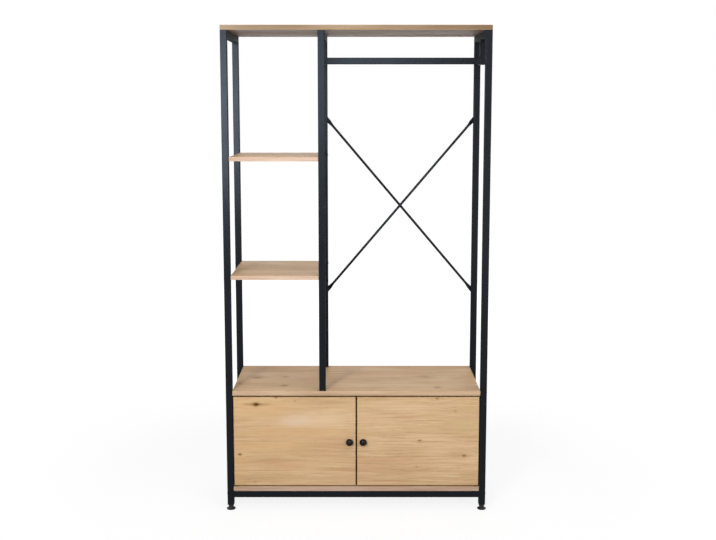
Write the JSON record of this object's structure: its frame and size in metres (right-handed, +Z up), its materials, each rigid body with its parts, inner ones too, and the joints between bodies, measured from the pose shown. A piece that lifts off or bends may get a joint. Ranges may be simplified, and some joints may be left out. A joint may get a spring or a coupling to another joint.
{
  "type": "open wardrobe with base cabinet",
  "caption": "Open wardrobe of dark square steel tube and light oak boards, with a hanging rail, side shelves, crossed rear braces and a closed base cabinet with hinged doors.",
  "frame": {"origin": "on the floor, under the middle of the whole object", "axes": "+Z up, -Y towards the person who opens the doors, +X to that person's right"},
  "size_m": [1.009, 0.4341, 1.85],
  "materials": {
    "frame_coat": "fine-textured powder coat, satin",
    "oak_board": "light oak decor on particle board, matt",
    "hardboard": "thin fibreboard",
    "black_steel": "blackened steel",
    "bright_steel": "zinc-plated steel",
    "black_plastic": "moulded, matt",
    "nylon": "dark brown nylon",
    "knob_black": "black gloss enamel",
    "beech": "plain turned beech"
  },
  "bodies": {
    "frame": {"left_front_leg": "frame_coat", "left_rear_leg": "frame_coat", "right_front_leg": "frame_coat", "right_rear_leg": "frame_coat", "left_top_rail": "frame_coat", "right_top_rail": "frame_coat", "left_base_rail": "frame_coat", "right_base_rail": "frame_coat", "front_base_rail": "frame_coat", "rear_base_rail": "frame_coat", "divider_front_post": "frame_coat", "divider_rear_post": "frame_coat", "divider_top_rail": "frame_coat", "divider_hanger_strut": "frame_coat", "right_hanger_strut": "frame_coat", "hanging_rail": "frame_coat", "rising_brace": "frame_coat", "falling_brace": "frame_coat", "top_panel": "oak_board", "upper_shelf": "oak_board", "lower_shelf": "oak_board", "cabinet_top": "oak_board", "cabinet_bottom": "oak_board", "cabinet_left_side": "oak_board", "cabinet_right_side": "oak_board", "cabinet_back": "hardboard", "leg_plugs": "black_plastic", "threaded_plugs": "black_plastic", "strut_caps": "black_plastic", "frame_bolts": "black_steel", "divider_bolts": "black_steel", "shelf_screws": "black_steel", "cabinet_top_screws": "black_steel", "cabinet_bottom_screws": "black_steel", "top_panel_screws": "black_steel", "brace_screws": "black_steel", "catch_screws": "black_steel", "side_panel_dowels": "beech", "door_pivot_bushes": "nylon", "door_catches": "black_plastic", "catch_magnets": "bright_steel"},
    "left_door_leaf": {"left_door": "oak_board", "left_knob": "knob_black", "left_knob_screw": "bright_steel", "left_door_pins": "bright_steel", "left_strike_plate": "bright_steel"},
    "right_door_leaf": {"right_door": "oak_board", "right_knob": "knob_black", "right_knob_screw": "bright_steel", "right_door_pins": "bright_steel", "right_strike_plate": "bright_steel"},
    "left_front_leveller": {"left_front_foot": "black_plastic", "left_front_stud": "bright_steel"},
    "left_rear_leveller": {"left_rear_foot": "black_plastic", "left_rear_stud": "bright_steel"},
    "right_front_leveller": {"right_front_foot": "black_plastic", "right_front_stud": "bright_steel"},
    "right_rear_leveller": {"right_rear_foot": "black_plastic", "right_rear_stud": "bright_steel"}
  },
  "joints": [
    {"name": "left_door_hinge", "type": "hinge", "parent": "frame", "child": "left_door_leaf", "pos_m": [-0.463, -0.18655, 0.274], "axis": [0, 0, -1], "range_deg": [0, 110]},
    {"name": "right_door_hinge", "type": "hinge", "parent": "frame", "child": "right_door_leaf", "pos_m": [0.463, -0.18655, 0.274], "axis": [0, 0, 1], "range_deg": [0, 110]},
    {"name": "left_front_foot_travel", "type": "slide", "parent": "frame", "child": "left_front_leveller", "axis": [0, 0, 1], "range_m": [0, 0.0049]},
    {"name": "left_rear_foot_travel", "type": "slide", "parent": "frame", "child": "left_rear_leveller", "axis": [0, 0, 1], "range_m": [0, 0.0049]},
    {"name": "right_front_foot_travel", "type": "slide", "parent": "frame", "child": "right_front_leveller", "axis": [0, 0, 1], "range_m": [0, 0.0049]},
    {"name": "right_rear_foot_travel", "type": "slide", "parent": "frame", "child": "right_rear_leveller", "axis": [0, 0, 1], "range_m": [0, 0.0049]}
  ]
}
